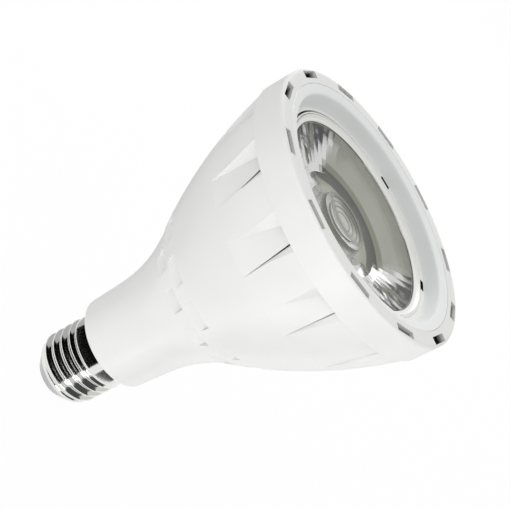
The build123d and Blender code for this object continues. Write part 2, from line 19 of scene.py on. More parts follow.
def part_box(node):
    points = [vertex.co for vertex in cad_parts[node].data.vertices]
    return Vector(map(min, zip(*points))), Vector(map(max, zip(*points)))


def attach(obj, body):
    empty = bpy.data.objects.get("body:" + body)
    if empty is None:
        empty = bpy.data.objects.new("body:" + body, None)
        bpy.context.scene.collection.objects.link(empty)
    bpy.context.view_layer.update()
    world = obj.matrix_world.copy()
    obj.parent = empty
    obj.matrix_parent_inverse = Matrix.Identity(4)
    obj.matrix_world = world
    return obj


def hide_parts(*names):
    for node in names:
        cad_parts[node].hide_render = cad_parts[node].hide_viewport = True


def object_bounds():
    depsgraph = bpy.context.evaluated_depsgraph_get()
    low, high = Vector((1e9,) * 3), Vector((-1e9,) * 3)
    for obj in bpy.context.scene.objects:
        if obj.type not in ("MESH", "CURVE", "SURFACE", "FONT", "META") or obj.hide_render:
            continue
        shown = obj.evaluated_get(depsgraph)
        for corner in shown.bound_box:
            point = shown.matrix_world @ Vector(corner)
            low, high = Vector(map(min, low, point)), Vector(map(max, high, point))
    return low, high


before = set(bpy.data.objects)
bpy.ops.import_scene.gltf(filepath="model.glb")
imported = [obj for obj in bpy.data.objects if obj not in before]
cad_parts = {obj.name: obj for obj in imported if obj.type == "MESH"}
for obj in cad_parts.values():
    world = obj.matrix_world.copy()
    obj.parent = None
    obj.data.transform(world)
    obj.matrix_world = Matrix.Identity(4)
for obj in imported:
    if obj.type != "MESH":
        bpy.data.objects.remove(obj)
CAD_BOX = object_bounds()
MM = 0.001
CAMERA_AZIMUTH_DEG = 97.17
# Levels of detail of the noise in the colour patches and in the grain, and how fully the grain shows.
PATCH_DETAIL = 3.0
GRAIN_DETAIL = 2.0
GRAIN_STRENGTH = 0.5
# Share of its full width that a tapering groove never falls below.
TAPER_END = 0.01
# Angles of two of the snap windows round the lens. The other two lie opposite.
WINDOW_DEG = (39.4, 104.4)

log = logging.getLogger("spotlight_bulb")


class Slot(Enum):
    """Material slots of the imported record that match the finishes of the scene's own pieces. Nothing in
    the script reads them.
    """

    PLATED_BRASS = "plated_brass"
    CLEAR_ACRYLIC = "clear_acrylic"
    HOLDER_PLASTIC = "holder_plastic"
    BEZEL_PLASTIC = "bezel_plastic"


class Card(Enum):
    """Studio cards by how much light they send back."""

    BLACK = "#050606"
    GREY = "#4a4c4d"
    PALE = "#babbbc"


def linear(hex_colour: str) -> tuple[float, float, float, float]:
    """Turns an sRGB hex value into a linear colour.

    Args:
        hex_colour: colour written as "#rrggbb".

    Returns:
        Linear red, green and blue, with an alpha of 1.
    """
    shares = [int(hex_colour[i : i + 2], 16) / 255 for i in (1, 3, 5)]
    red, green, blue = [s / 12.92 if s <= 0.04045 else ((s + 0.055) / 1.055) ** 2.4 for s in shares]
    return red, green, blue, 1.0


def per_mm(size_mm: float) -> float:
    """Gives the texture scale, in cycles per metre, of a pattern whose grain is size_mm wide."""
    return 1.0 / (size_mm * MM)


def direction(azimuth_deg: float, elevation_deg: float) -> Vector:
    """Points from the lamp's axis towards an azimuth and an elevation.

    Args:
        azimuth_deg: angle about the axis.
        elevation_deg: angle above level.

    Returns:
        A unit vector.
    """
    azimuth, elevation = math.radians(azimuth_deg), math.radians(elevation_deg)
    level = math.cos(elevation)
    return Vector((level * math.cos(azimuth), level * math.sin(azimuth), math.sin(elevation)))


def add_node(
    tree: bpy.types.NodeTree, kind: str, inputs: dict[Any, Any] | None = None, **settings: Any
) -> bpy.types.Node:
    """Adds a node with its settings, its values and its links.

    Args:
        tree: node tree that gets the node.
        kind: Blender's type name of the node.
        inputs: by input name or number, a value to set or a socket to link from.
        settings: attributes of the node.

    Returns:
        The new node.
    """
    made = tree.nodes.new(kind)
    for name, value in settings.items():
        setattr(made, name, value)
    for key, value in (inputs or {}).items():
        if isinstance(value, bpy.types.NodeSocket):
            tree.links.new(value, made.inputs[key])
        else:
            made.inputs[key].default_value = value
    return made


@dataclass(frozen=True)
class RingZone:
    """Part of a surface in one ring about the lamp's axis that looks different from the rest.

    Args:
        colour: colour in the zone.
        inner_mm: inner radius of the ring.
        outer_mm: outer radius of the ring.
        floor_mm: height at which the ring ends.
        deep_mm: height below which the zone is full.
        mouth_mm: height at which the zone begins.
        lean: how much both radii shrink for each unit of depth below the mouth.
        roughness: roughness in the zone, or none to leave it.
    """

    colour: str
    inner_mm: float
    outer_mm: float
    floor_mm: float
    deep_mm: float
    mouth_mm: float
    lean: float = 0.0
    roughness: float | None = None

    def share(self, tree: bpy.types.NodeTree, where: bpy.types.NodeSocket) -> bpy.types.NodeSocket:
        """Works out how far a place is inside the zone.

        Args:
            tree: the material's nodes.
            where: Object coordinates.

        Returns:
            A socket that is 1 in the full zone and 0 outside.
        """
        flat = add_node(tree, "ShaderNodeVectorMath", {0: where, 1: (1.0, 1.0, 0.0)}, operation="MULTIPLY")
        reach = add_node(tree, "ShaderNodeVectorMath", {0: flat.outputs[0]}, operation="LENGTH")
        height = add_node(tree, "ShaderNodeSeparateXYZ", {0: where}).outputs["Z"]
        below = add_node(tree, "ShaderNodeMath", {0: self.mouth_mm * MM, 1: height}, operation="SUBTRACT")
        depth = below.outputs[0]
        radius = add_node(
            tree,
            "ShaderNodeMath",
            {0: depth, 1: self.lean, 2: reach.outputs["Value"]},
            operation="MULTIPLY_ADD",
        ).outputs[0]
        share = add_node(
            tree,
            "ShaderNodeMapRange",
            {"Value": depth, "From Min": 0.0, "From Max": (self.mouth_mm - self.deep_mm) * MM},
        ).outputs["Result"]
        limits = (
            (radius, self.inner_mm, "GREATER_THAN"),
            (radius, self.outer_mm, "LESS_THAN"),
            (height, self.floor_mm, "GREATER_THAN"),
        )
        for value, limit, test in limits:
            inside = add_node(tree, "ShaderNodeMath", {0: value, 1: limit * MM}, operation=test).outputs[0]
            share = add_node(tree, "ShaderNodeMath", {0: share, 1: inside}, operation="MULTIPLY").outputs[0]
        return share


@dataclass(frozen=True)
class GrooveZone(RingZone):
    """Grooves that repeat round the axis and taper away from the mouth of the zone.

    Args:
        every_deg: angle from one groove to the next.
        edge_deg: angle at which a groove ends when it has tapered away.
        middle_deg: angle from there back to the groove's middle at the mouth.
        half_deg: half the groove's angle at the mouth.
        run_mm: height over which it tapers away.
    """

    every_deg: float = 30.0
    edge_deg: float = 7.8
    middle_deg: float = 3.09
    half_deg: float = 0.19
    run_mm: float = 21.0

    def share(self, tree: bpy.types.NodeTree, where: bpy.types.NodeSocket) -> bpy.types.NodeSocket:
        """Works out how far a place is inside the grooves.

        Args:
            tree: the material's nodes.
            where: Object coordinates.

        Returns:
            A socket that is 1 in the grooves and 0 outside.
        """
        parts = add_node(tree, "ShaderNodeSeparateXYZ", {0: where})
        turn = add_node(
            tree, "ShaderNodeMath", {0: parts.outputs["Y"], 1: parts.outputs["X"]}, operation="ARCTAN2"
        )
        degrees = add_node(tree, "ShaderNodeMath", {0: turn.outputs[0]}, operation="DEGREES")
        phase = add_node(
            tree, "ShaderNodeMath", {0: degrees.outputs[0], 1: self.every_deg}, operation="FLOORED_MODULO"
        )
        size = add_node(
            tree,
            "ShaderNodeMapRange",
            {
                "Value": parts.outputs["Z"],
                "From Min": (self.mouth_mm - self.run_mm) * MM,
                "From Max": self.mouth_mm * MM,
                "To Min": TAPER_END,
            },
        )
        back = add_node(
            tree, "ShaderNodeMath", {0: self.edge_deg, 1: phase.outputs[0]}, operation="SUBTRACT"
        )
        scaled = add_node(
            tree, "ShaderNodeMath", {0: back.outputs[0], 1: size.outputs[0]}, operation="DIVIDE"
        )
        inside = add_node(
            tree,
            "ShaderNodeMath",
            {0: scaled.outputs[0], 1: self.middle_deg, 2: self.half_deg},
            operation="COMPARE",
        )
        ring = super().share(tree, where)
        both = add_node(tree, "ShaderNodeMath", {0: ring, 1: inside.outputs[0]}, operation="MULTIPLY")
        return both.outputs[0]


@dataclass(frozen=True)
class Finish:
    """A material and how its surface was made.

    Args:
        name: common name and process.
        colour: main colour.
        second: colour of the paler or darker patches.
        patch_mm: width of those patches.
        roughness: roughness of the smoothest and of the dullest places.
        grain_mm: width of the surface grain, coarser than life where the real one is too fine to show.
        grain_depth_mm: height of the surface grain.
        zones: rings of the surface that look different.
    """

    name: str
    colour: str
    second: str
    patch_mm: float
    roughness: tuple[float, float]
    grain_mm: float
    grain_depth_mm: float
    zones: tuple[RingZone, ...] = ()

    def material(self) -> bpy.types.Material:
        """Builds the Blender material.

        Returns:
            The material, with the pattern, roughness and grain of this finish.
        """
        made = bpy.data.materials.new(self.name)
        made.use_nodes = True
        tree = made.node_tree
        tree.nodes.clear()
        shader = add_node(tree, "ShaderNodeBsdfPrincipled")
        add_node(tree, "ShaderNodeOutputMaterial", {"Surface": shader.outputs["BSDF"]})
        where = add_node(tree, "ShaderNodeTexCoord").outputs["Object"]
        self.colour_nodes(tree, shader, where)
        self.grain_nodes(tree, shader, where)
        self.shader_values(shader)
        return made

    def colour_nodes(
        self, tree: bpy.types.NodeTree, shader: bpy.types.Node, where: bpy.types.NodeSocket
    ) -> None:
        """Mixes the two colours in soft patches.

        Args:
            tree: the material's nodes.
            shader: the shader that takes the colour.
            where: Object coordinates.
        """
        patches = add_node(
            tree,
            "ShaderNodeTexNoise",
            {"Vector": where, "Scale": per_mm(self.patch_mm), "Detail": PATCH_DETAIL},
        )
        mix = add_node(
            tree,
            "ShaderNodeMix",
            {0: patches.outputs["Fac"], 6: linear(self.colour), 7: linear(self.second)},
            data_type="RGBA",
        )
        colour = mix.outputs[2]
        for zone in self.zones:
            changed = add_node(
                tree,
                "ShaderNodeMix",
                {0: zone.share(tree, where), 6: colour, 7: linear(zone.colour)},
                data_type="RGBA",
            )
            colour = changed.outputs[2]
        tree.links.new(colour, shader.inputs["Base Color"])

    def grain_nodes(
        self, tree: bpy.types.NodeTree, shader: bpy.types.Node, where: bpy.types.NodeSocket
    ) -> None:
        """Gives the surface its grain, and its roughness between the two values.

        Args:
            tree: the material's nodes.
            shader: the shader that takes roughness and normal.
            where: Object coordinates.
        """
        grain = add_node(
            tree,
            "ShaderNodeTexNoise",
            {"Vector": where, "Scale": per_mm(self.grain_mm), "Detail": GRAIN_DETAIL},
        )
        low, high = self.roughness
        rough = add_node(
            tree, "ShaderNodeMapRange", {"Value": grain.outputs["Fac"], "To Min": low, "To Max": high}
        )
        roughness = rough.outputs["Result"]
        for zone in self.zones:
            if zone.roughness is not None:
                changed = add_node(
                    tree, "ShaderNodeMix", {0: zone.share(tree, where), 2: roughness, 3: zone.roughness}
                )
                roughness = changed.outputs[0]
        tree.links.new(roughness, shader.inputs["Roughness"])
        bump = add_node(
            tree,
            "ShaderNodeBump",
            {
                "Height": grain.outputs["Fac"],
                "Strength": GRAIN_STRENGTH,
                "Distance": self.grain_depth_mm * MM,
            },
        )
        tree.links.new(bump.outputs["Normal"], shader.inputs["Normal"])

    def shader_values(self, shader: bpy.types.Node) -> None:
        """Sets what is the same all over the surface."""


@dataclass(frozen=True)
class MouldedPlastic(Finish):
    """Injection-moulded plastic.

    Args:
        ior: index of refraction.
        coat: weight of the smooth skin that a polished mould leaves.
    """

    ior: float = 1.5
    coat: float = 0.0

    def shader_values(self, shader: bpy.types.Node) -> None:
        """Sets the index of refraction and the moulded skin."""
        shader.inputs["IOR"].default_value = self.ior
        shader.inputs["Coat Weight"].default_value = self.coat
        shader.inputs["Coat Roughness"].default_value = self.roughness[0]


@dataclass(frozen=True)
class BareMetal(Finish):
    """Plated, rolled or cast metal with nothing over it."""

    def shader_values(self, shader: bpy.types.Node) -> None:
        """Makes the shader a metal."""
        shader.inputs["Metallic"].default_value = 1.0


@dataclass(frozen=True)
class ClearPlastic(Finish):
    """Water-clear moulded plastic.

    Args:
        ior: index of refraction.
    """

    ior: float = 1.49

    def shader_values(self, shader: bpy.types.Node) -> None:
        """Lets the light through."""
        shader.inputs["IOR"].default_value = self.ior
        shader.inputs["Transmission Weight"].default_value = 1.0


# The rounded edge of the rim, where the mould parts, comes out matt.
RIM_EDGE = RingZone("#eeeeed", 46.2, 48.0, 131.7, 133.2, 133.4, roughness=0.75)
# Painted shade: the walls of the air slots in the rim are coloured dark grey for the deep shade they lie
# in.
AIR_SLOT_PAINTED_SHADE = RingZone("#303030", 43.8, 46.9, 122.7, 130.6, 132.2)
# Painted shade: the floor's side of the groove in each pocket is coloured dark grey too, for the shade at
# its foot.
POCKET_GROOVE_PAINTED_SHADE = GrooveZone("#303030", 44.4, 46.1, 103.0, 122.5, 122.6, lean=0.217)
# Painted shade: the snap windows are coloured near black inside, for the dark inside of the lamp that they
# open into. Their taper is too long to show.
HOLDER_WINDOW_PAINTED_SHADE = tuple(
    GrooveZone(
        "#060606", 34.79, 36.52, 124.3, 127.44, 127.48,
        every_deg=180.0, edge_deg=middle, middle_deg=0.0, half_deg=3.75, run_mm=1000.0
    )
    for middle in WINDOW_DEG
)
# Painted shade: where the gap round the holder is deep it is coloured near black, for the shade it lies in.
HOLDER_GAP_PAINTED_SHADE = RingZone("#141414", 35.19, 35.87, 124.3, 126.3, 127.2)
# Painted shade: the cup's flange, seen through the windows, is coloured near black all round for the shade
# it lies in.
CUP_FLANGE_PAINTED_SHADE = RingZone("#0c0c0c", 35.1, 36.9, 121.0, 124.4, 124.5)
# Painted light: the cup's wall is coloured brighter half way down. Painted shade: its foot is coloured
# olive grey for the shade of the light source.
CUP_WALL_PAINTED_LIGHT = RingZone("#fcfcf4", 12.0, 29.0, 107.0, 115.5, 117.5)
CUP_FOOT_PAINTED_SHADE = RingZone("#b4b69e", 12.0, 26.0, 100.0, 108.6, 109.3)
# White polyester moulding with a semi-gloss skin: soft reflections and a very fine texture.
HOUSING_PLASTIC = MouldedPlastic(
    "white_polyester_moulded", "#f1f1f0", "#ebebeb", 14.0, (0.26, 0.36), 0.45, 0.004,
    (RIM_EDGE, AIR_SLOT_PAINTED_SHADE, POCKET_GROOVE_PAINTED_SHADE), ior=1.52
)
# Painted shade: the cone inside the front ring is coloured a little greyer, for the shade it lies in.
BEZEL_CONE_PAINTED_SHADE = RingZone("#ebedee", 30.0, 38.9, 120.0, 131.9, 132.1)
# The edge between its cone and its bevel is matt.
BEZEL_EDGE = RingZone("#eef0f1", 38.3, 39.6, 131.3, 132.9, 133.1, roughness=0.8)
# The front ring is a second moulding, a shade cooler and a little more matt.
BEZEL_PLASTIC = MouldedPlastic(
    "white_polycarbonate_moulded", "#f3f5f6", "#eef0f1", 11.0, (0.3, 0.4), 0.4, 0.004,
    (BEZEL_CONE_PAINTED_SHADE, BEZEL_EDGE), ior=1.58
)
# The lens holder is a plain white moulding with a satin face.
HOLDER_PLASTIC = MouldedPlastic(
    "white_polycarbonate_satin", "#f9f9f7", "#f5f5f3", 9.0, (0.3, 0.4), 0.4, 0.004,
    (HOLDER_GAP_PAINTED_SHADE, *HOLDER_WINDOW_PAINTED_SHADE), ior=1.58
)
# The cup behind the lens is moulded in the same white, with a dull inside that scatters light.
CUP_PLASTIC = MouldedPlastic(
    "white_polycarbonate_dull", "#f8f8ef", "#d8d8ca", 5.0, (0.5, 0.6), 0.4, 0.004,
    (CUP_FLANGE_PAINTED_SHADE, CUP_WALL_PAINTED_LIGHT, CUP_FOOT_PAINTED_SHADE), ior=1.58
)
# The cavity over the light source is left frosted, which evens out the light.
FROSTED_CAVITY = RingZone("#fcfcf6", -1.0, 11.3, 100.0, 112.9, 113.0, roughness=0.32)
# Painted shade: thin dark rings are coloured into the acrylic over the cavity, one at the steep edge of its
# inner ring, where little light comes through, and three where the cavity has no edge.
PAINTED_RING_MM = (3.4, 5.2, 7.07, 8.6)
PAINTED_RING_HALF_MM = 0.22
CAVITY_RINGS_PAINTED_SHADE = tuple(
    RingZone("#4e4c40", edge - PAINTED_RING_HALF_MM, edge + PAINTED_RING_HALF_MM, 100.0, 112.9, 113.0)
    for edge in PAINTED_RING_MM
)
# The flat front is polished to a mirror.
POLISHED_FRONT = RingZone("#feffff", -1.0, 32.4, 126.2, 126.45, 126.6, roughness=0.0)
# Optical acrylic, water clear with a trace of olive, its facets a little softer than its front.
CLEAR_ACRYLIC = ClearPlastic(
    "clear_acrylic_polished", "#fdfef9", "#fafbf4", 6.0, (0.04, 0.08), 3.0, 0.0004,
    (FROSTED_CAVITY, *CAVITY_RINGS_PAINTED_SHADE, POLISHED_FRONT)
)
# Bright nickel over drawn brass: a mirror with faint drawing marks.
PLATED_BRASS = BareMetal("nickel_plated_brass_rolled", "#eeeeea", "#e2e3e0", 4.0, (0.08, 0.17), 0.8, 0.012)
# Milky thermoset ring under the cap, a little translucent.
INSULATOR_PLASTIC = MouldedPlastic(
    "white_thermoset_moulded", "#a9acad", "#a0a3a4", 5.0, (0.2, 0.3), 0.4, 0.003, ior=1.55, coat=0.2
)
# Pressed brass disc, yellow and slightly dulled.
CONTACT_BRASS = BareMetal("pressed_brass", "#cfae6a", "#b8965a", 2.5, (0.18, 0.34), 0.3, 0.004)
# Die-cast aluminium: grey, with a sandy cast skin.
CAST_ALUMINIUM = BareMetal("die_cast_aluminium", "#c5c6ae", "#b3b49e", 5.0, (0.34, 0.52), 0.5, 0.02)
# Alumina board of the light source: matt white.
CERAMIC_BOARD = MouldedPlastic("sintered_alumina", "#eeeee9", "#e4e4de", 2.0, (0.5, 0.65), 0.2, 0.004)
# Phosphor in silicone: yellow, with a wet look.
PHOSPHOR = MouldedPlastic("cast_phosphor_silicone", "#e8c94a", "#dfb93c", 0.8, (0.12, 0.2), 0.3, 0.006)
# White clamp of the light source.
CLAMP_PLASTIC = MouldedPlastic("white_nylon_moulded", "#edecdf", "#e5e4d6", 4.0, (0.4, 0.5), 0.4, 0.006)
# Zinc-plated steel screws: bluish and bright.
ZINC_STEEL = BareMetal("zinc_plated_steel", "#c3c7cb", "#aeb4ba", 1.0, (0.22, 0.36), 0.25, 0.004)
# Glass-epoxy laminate: green mask over a faint weave.
CIRCUIT_LAMINATE = MouldedPlastic(
    "glass_epoxy_laminate", "#1f6b41", "#18583a", 1.6, (0.3, 0.42), 0.6, 0.008
)
# Pressed ferrite: charcoal and dull.
FERRITE = MouldedPlastic("pressed_ferrite", "#2c2c2e", "#3a3a3c", 1.2, (0.55, 0.7), 0.3, 0.01)
# Polyester winding tape: glossy yellow.
WINDING_TAPE = MouldedPlastic("polyester_tape", "#d9b92f", "#cda923", 3.0, (0.15, 0.28), 1.0, 0.02)
# Shrunk plastic sleeve on a can: dark blue-black.
CAN_SLEEVE = MouldedPlastic("shrunk_vinyl_sleeve", "#22262e", "#1a1d24", 3.0, (0.2, 0.32), 0.7, 0.01)
# Dipped film capacitor box: brick red.
FILM_BOX = MouldedPlastic("moulded_epoxy_box", "#a3442f", "#933a28", 2.0, (0.25, 0.38), 0.4, 0.006)
# Black transfer-moulded epoxy of the chips.
COMPONENT_BLACK = MouldedPlastic("black_epoxy_moulded", "#1b1b1c", "#242425", 1.0, (0.5, 0.62), 0.2, 0.008)
# Lacquered resistor body: pale blue-green.
RESISTOR_BODY = MouldedPlastic("lacquered_resistor", "#7fa6a3", "#739894", 1.0, (0.25, 0.36), 0.3, 0.006)
# Silicone lead insulation: red-brown.
LEAD_INSULATION = MouldedPlastic("silicone_insulation", "#8f2f28", "#822822", 1.5, (0.4, 0.52), 0.4, 0.006)

NODE_FINISHES = {
    "base_insulator": INSULATOR_PLASTIC,
    "centre_contact": CONTACT_BRASS,
    "housing": HOUSING_PLASTIC,
    "lens_cup": CUP_PLASTIC,
    "heat_sink": CAST_ALUMINIUM,
    "heat_sink_screws": ZINC_STEEL,
    "cob_board": CERAMIC_BOARD,
    "cob_phosphor": PHOSPHOR,
    "cob_holder": CLAMP_PLASTIC,
    "cob_screws": ZINC_STEEL,
    "driver_board": CIRCUIT_LAMINATE,
    "transformer_core": FERRITE,
    "transformer_winding": WINDING_TAPE,
    "input_capacitor": CAN_SLEEVE,
    "output_capacitor": CAN_SLEEVE,
    "film_capacitor": FILM_BOX,
    "choke": FERRITE,
    "bridge_rectifier": COMPONENT_BLACK,
    "control_chip": COMPONENT_BLACK,
    "fuse_resistor": RESISTOR_BODY,
    "supply_leads": LEAD_INSULATION,
    "led_leads": LEAD_INSULATION,
}


def smooth_step(values: np.ndarray, start: float, end: float) -> np.ndarray:
    """Rises from 0 at start to 1 at end along 3t² - 2t³.

    Args:
        values: where the step is read.
        start: value at which it begins.
        end: value at which it ends.

    Returns:
        The step, as large as values.
    """
    share = np.clip((values - start) / (end - start), 0.0, 1.0)
    return share * share * (3.0 - 2.0 * share)


def closed_grid(name: str, points: np.ndarray) -> bpy.types.Object:
    """Makes a mesh from a grid whose rows and columns both close on themselves.

    Args:
        name: name of the new object.
        points: rows x columns x 3 places in metres, right-handed so that faces point outwards.

    Returns:
        The object, linked to the scene and shaded smooth.
    """
    rows, columns = points.shape[:2]
    index = np.arange(rows * columns).reshape(rows, columns)
    right = np.roll(index, -1, axis=1)
    faces = np.stack(
        [index, right, np.roll(right, -1, axis=0), np.roll(index, -1, axis=0)], axis=-1
    ).reshape(-1, 4)
    mesh = bpy.data.meshes.new(name)
    mesh.from_pydata(points.reshape(-1, 3), [], faces)
    mesh.polygons.foreach_set("use_smooth", np.ones(len(faces), bool))
    mesh.update()
    made = bpy.data.objects.new(name, mesh)
    bpy.context.scene.collection.objects.link(made)
    return made


@dataclass
class ScrewCap:
    """The nickel-plated screw shell with its rolled round thread, sizes in millimetres."""

    crest_r: float = 13.15
    root_r: float = 12.05
    pitch: float = 3.63
    turns: int = 4
    lead_in: float = 0.7
    collar_r: float = 12.95
    wall: float = 0.3
    crest_power: float = 0.8
    run_in: tuple[float, float] = (0.2, 2.4)
    run_out: tuple[float, float] = (-0.6, 1.6)
    edge_round: float = 0.5
    edge_in: float = 0.15
    around: int = 160
    up: int = 200
    bottom: float = field(default_factory=lambda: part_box("screw_shell")[0].z / MM)
    top: float = field(default_factory=lambda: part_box("screw_shell")[1].z / MM)

    def radius(self, height: np.ndarray, angle: np.ndarray) -> np.ndarray:
        """Radius of the shell's outside.

        The thread is a power of a raised cosine of the height less one pitch per turn, so it climbs
        as a right-hand helix. It rises from the plain foot and runs out into the plain collar by
        smooth steps, and the foot is rounded in.

        Args:
            height: heights in millimetres.
            angle: angles about the axis.

        Returns:
            Radii in millimetres.
        """
        start = self.bottom + self.lead_in
        end = start + self.turns * self.pitch
        wave = 0.5 - 0.5 * np.cos(2.0 * math.pi * (height - start) / self.pitch - angle)
        thread = self.root_r + (self.crest_r - self.root_r) * wave**self.crest_power
        rise = smooth_step(height, self.bottom + self.run_in[0], self.bottom + self.run_in[1])
        thread = self.root_r + (thread - self.root_r) * rise
        fall = smooth_step(height, end + self.run_out[0], end + self.run_out[1])
        radius = thread + (self.collar_r - thread) * fall
        foot = 1.0 - smooth_step(height, self.bottom, self.bottom + self.edge_round)
        return radius - self.edge_in * foot

    def build(self) -> bpy.types.Object:
        """Makes the shell: the threaded outside, and a plain inside wall that closes it.

        Returns:
            The shell, dressed and riding on the lamp.
        """
        angle = np.linspace(0.0, 2.0 * math.pi, self.around, endpoint=False)
        height = np.linspace(self.bottom, self.top, self.up)
        theta, outer_height = np.meshgrid(angle, height)
        outer = self.radius(outer_height, theta)
        inner_r = self.root_r - self.wall
        inner_height = np.stack([np.full(self.around, self.top), np.full(self.around, self.bottom)])
        radii = np.concatenate([outer, np.full_like(inner_height, inner_r)])
        heights = np.concatenate([outer_height, inner_height])
        angles = np.concatenate([theta, theta[:2]])
        points = np.stack([radii * np.cos(angles), radii * np.sin(angles), heights], axis=-1) * MM
        shell = closed_grid("screw_shell_threaded", points)
        shell.data.materials.append(PLATED_BRASS.material())
        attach(shell, "root")
        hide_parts("screw_shell")
        return shell


@dataclass
class Optic:
    """The clear collimating lens with its faceted wall and ringed cavity, sizes in millimetres."""

    flange_width: float = 2.1
    flange_thick: float = 1.1
    land: float = 0.9
    bottom_r: float = 14.0
    curve: float = 0.66
    sides: int = 60
    rows: int = 9
    per_side: int = 4
    cavity_r: float = 11.0
    draft: float = 1.0
    cavity_height: float = 9.0
    rings: int = 2
    ring_rise: float = 1.6
    ring_lift: float = 0.9
    dome_rows: int = 14
    pole_r: float = 0.002
    air: float = 0.06
    sharp_deg: float = 4.0
    bottom: float = field(default_factory=lambda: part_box("lens")[0].z / MM)
    front: float = field(default_factory=lambda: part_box("lens")[1].z / MM)
    flange_r: float = field(default_factory=lambda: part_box("lens")[1].x / MM)

    @property
    def front_r(self) -> float:
        """Radius of the flat front."""
        return self.flange_r - self.flange_width

    def wall(self) -> tuple[np.ndarray, np.ndarray]:
        """Profile of the faceted wall, on a power curve of the height from foot to seat.

        Returns:
            Radii and heights in millimetres.
        """
        seat = self.front - self.land - self.flange_thick + self.air
        share = np.linspace(0.0, 1.0, self.rows + 1)
        radius = self.bottom_r + (self.front_r - self.bottom_r) * share**self.curve
        return radius, self.bottom + share * (seat - self.bottom)

    def flange(self) -> tuple[np.ndarray, np.ndarray]:
        """Profile of the flange and the flat front, a hair clear of the pieces that hold them.

        Returns:
            Radii and heights in millimetres.
        """
        top = self.front - self.land - self.air
        seat = top - self.flange_thick + 2.0 * self.air
        edge = self.flange_r - self.air
        radius = np.array([edge, edge, self.front_r, self.front_r, self.pole_r])
        return radius, np.array([seat, top, top, self.front, self.front])

    def cavity(self) -> tuple[np.ndarray, np.ndarray]:
        """Profile of the cavity: a sphere cap on the axis, then rings of equal area, each a cone.

        Returns:
            Radii and heights in millimetres.
        """
        edge = (self.cavity_r - self.draft) * np.sqrt(np.arange(1, self.rings + 1) / self.rings)
        low = self.bottom + self.cavity_height - self.ring_rise - (self.rings - 1) * self.ring_lift
        ball = (edge[0] ** 2 + self.ring_rise**2) / (2.0 * self.ring_rise)
        dome_r = np.linspace(self.pole_r, edge[0], self.dome_rows + 1)
        dome_h = low + ball - np.sqrt(ball**2 - dome_r**2)
        foot = low + np.arange(1, self.rings) * self.ring_lift
        ring_r = np.stack([edge[:-1], edge[1:]], axis=1).ravel()
        ring_h = np.stack([foot, foot + self.ring_rise], axis=1).ravel()
        radius = np.concatenate([dome_r, ring_r, [self.cavity_r]])
        return radius, np.concatenate([dome_h, ring_h, [self.bottom]])

    def build(self) -> bpy.types.Object:
        """Makes the lens: its profile carried round the axis, with the wall's rows cut to facets.

        A facet's radius is the corner radius times the cosine of half a side over the cosine of the
        angle from the middle of that side.

        Returns:
            The lens, dressed and riding on the lamp.
        """
        profiles = [self.wall(), self.flange(), self.cavity()]
        radius = np.concatenate([profile[0] for profile in profiles])
        height = np.concatenate([profile[1] for profile in profiles])
        faceted = np.arange(len(radius)) <= self.rows
        columns = self.sides * self.per_side
        angle = np.linspace(0.0, 2.0 * math.pi, columns, endpoint=False)
        half = math.pi / self.sides
        facet = np.cos(half) / np.cos(np.mod(angle, 2.0 * half) - half)
        radii = radius[:, None] * np.where(faceted[:, None], facet[None], 1.0)
        heights = np.repeat(height[:, None], columns, axis=1)
        points = np.stack([radii * np.cos(angle), radii * np.sin(angle), heights], axis=-1) * MM
        lens = closed_grid("lens_clear", points)
        lens.data.set_sharp_from_angle(angle=math.radians(self.sharp_deg))
        lens.data.materials.append(CLEAR_ACRYLIC.material())
        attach(lens, "root")
        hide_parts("lens")
        return lens


